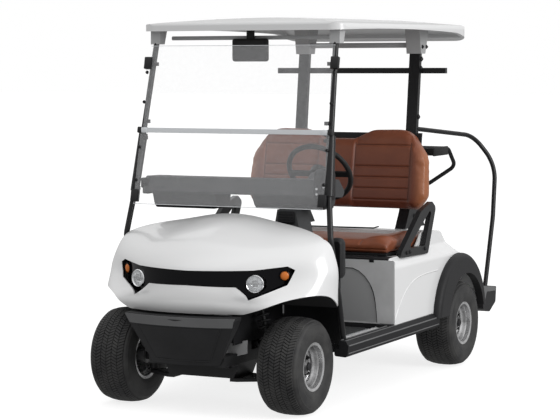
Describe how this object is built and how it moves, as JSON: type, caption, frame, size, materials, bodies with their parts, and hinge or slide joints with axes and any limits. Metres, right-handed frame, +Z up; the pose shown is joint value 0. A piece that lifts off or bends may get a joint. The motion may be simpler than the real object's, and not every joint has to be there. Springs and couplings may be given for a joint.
{
  "type": "two-seat golf cart",
  "caption": "Electric golf cart with canopy roof, folding windscreen, bench seat, bag rack and steered front wheels.",
  "frame": {"origin": "on the ground, below the middle of the overall box", "axes": "+Z up, -Y forward, +X towards the driver's side (the cart's left)"},
  "size_m": [1.28, 2.6029, 1.8525],
  "materials": {
    "frame_black": "satin",
    "spring_steel": "satin",
    "motor_alloy": "cast",
    "battery_plastic": "matte",
    "body_white": "gloss",
    "gloss_black": "gloss",
    "lamp_clear": "gloss",
    "lamp_amber": "gloss",
    "lamp_red": "gloss",
    "trim_dark": "textured",
    "liner_black": "matte",
    "floor_grey": "matte",
    "mat_rubber": "ribbed",
    "panel_grey": "satin",
    "seat_leather": "grained",
    "trim_black": "satin",
    "strut_black": "gloss",
    "screen_clear": "gloss",
    "screen_trim": "gloss",
    "dash_grey": "satin",
    "wheel_grip": "satin",
    "tyre_rubber": "matte",
    "rim_steel": "satin"
  },
  "bodies": {
    "chassis": {"chassis_frame": "frame_black", "front_suspension": "spring_steel", "rack_housing": "frame_black", "rear_axle": "frame_black", "drive_motor": "motor_alloy", "rear_suspension": "spring_steel", "battery_pack": "battery_plastic", "front_cowl": "body_white", "lamp_band": "gloss_black", "headlamps": "lamp_clear", "indicators": "lamp_amber", "front_bumper": "trim_dark", "wheel_liners": "liner_black", "floor_pan": "floor_grey", "floor_mat": "mat_rubber", "sills": "trim_dark", "pedals": "frame_black", "seat_pod": "panel_grey", "rear_body": "body_white", "fender_flares": "trim_dark", "bag_floor": "floor_grey", "rear_bumper": "trim_dark", "tail_lamps": "lamp_red", "seat_back": "seat_leather", "seat_frame": "trim_black", "armrests": "trim_black", "roof": "body_white", "front_struts": "strut_black", "rear_struts": "strut_black", "roof_brackets": "body_white", "windscreen_lower": "screen_clear", "windscreen_upper": "screen_clear", "windscreen_hinge": "screen_trim", "mirror": "trim_black", "rack_tubes": "strut_black", "bag_bar": "strut_black", "dashboard": "dash_grey", "steering_column": "panel_grey"},
    "knuckle_left_body": {"knuckle_left": "spring_steel"},
    "knuckle_right_body": {"knuckle_right": "spring_steel"},
    "steering_rack": {"tie_rods": "spring_steel"},
    "hand_wheel": {"steering_wheel": "wheel_grip"},
    "wheel_front_left": {"tyre_front_left": "tyre_rubber", "rim_front_left": "rim_steel"},
    "wheel_front_right": {"tyre_front_right": "tyre_rubber", "rim_front_right": "rim_steel"},
    "wheel_rear_left": {"tyre_rear_left": "tyre_rubber", "rim_rear_left": "rim_steel"},
    "wheel_rear_right": {"tyre_rear_right": "tyre_rubber", "rim_rear_right": "rim_steel"},
    "cushion": {"seat_cushion": "seat_leather"}
  },
  "joints": [
    {"name": "steer_left", "type": "hinge", "parent": "chassis", "child": "knuckle_left_body", "pos_m": [0.312, -0.95, 0.2285], "axis": [0, 0, 1], "range_deg": [-25, 25]},
    {"name": "steer_right", "type": "hinge", "parent": "chassis", "child": "knuckle_right_body", "pos_m": [-0.312, -0.95, 0.2285], "axis": [0, 0, 1], "range_deg": [-25, 25]},
    {"name": "rack_slide", "type": "slide", "parent": "chassis", "child": "steering_rack", "axis": [1, 0, 0], "range_m": [-0.0425, 0.0425]},
    {"name": "hand_wheel_turn", "type": "hinge", "parent": "chassis", "child": "hand_wheel", "pos_m": [0.25, -0.265, 1.085], "axis": [0, 0.8192, 0.5736], "range_deg": [-301, 301]},
    {"name": "roll_front_left", "type": "hinge", "parent": "knuckle_left_body", "child": "wheel_front_left", "pos_m": [0.445, -0.95, 0.2285], "axis": [1, 0, 0], "continuous": true},
    {"name": "roll_front_right", "type": "hinge", "parent": "knuckle_right_body", "child": "wheel_front_right", "pos_m": [-0.445, -0.95, 0.2285], "axis": [1, 0, 0], "continuous": true},
    {"name": "roll_rear_left", "type": "hinge", "parent": "chassis", "child": "wheel_rear_left", "pos_m": [0.525, 0.75, 0.2285], "axis": [1, 0, 0], "continuous": true},
    {"name": "roll_rear_right", "type": "hinge", "parent": "chassis", "child": "wheel_rear_right", "pos_m": [-0.525, 0.75, 0.2285], "axis": [1, 0, 0], "continuous": true},
    {"name": "seat_lift", "type": "hinge", "parent": "chassis", "child": "cushion", "pos_m": [0, -0.06, 0.656], "axis": [1, 0, 0], "range_deg": [0, 70]}
  ],
  "couplings": [
    {"joint": "steer_right", "follows": "steer_left", "ratio": 1},
    {"joint": "rack_slide", "follows": "steer_left", "m_per_rad": -0.097},
    {"joint": "hand_wheel_turn", "follows": "steer_left", "ratio": 12}
  ]
}
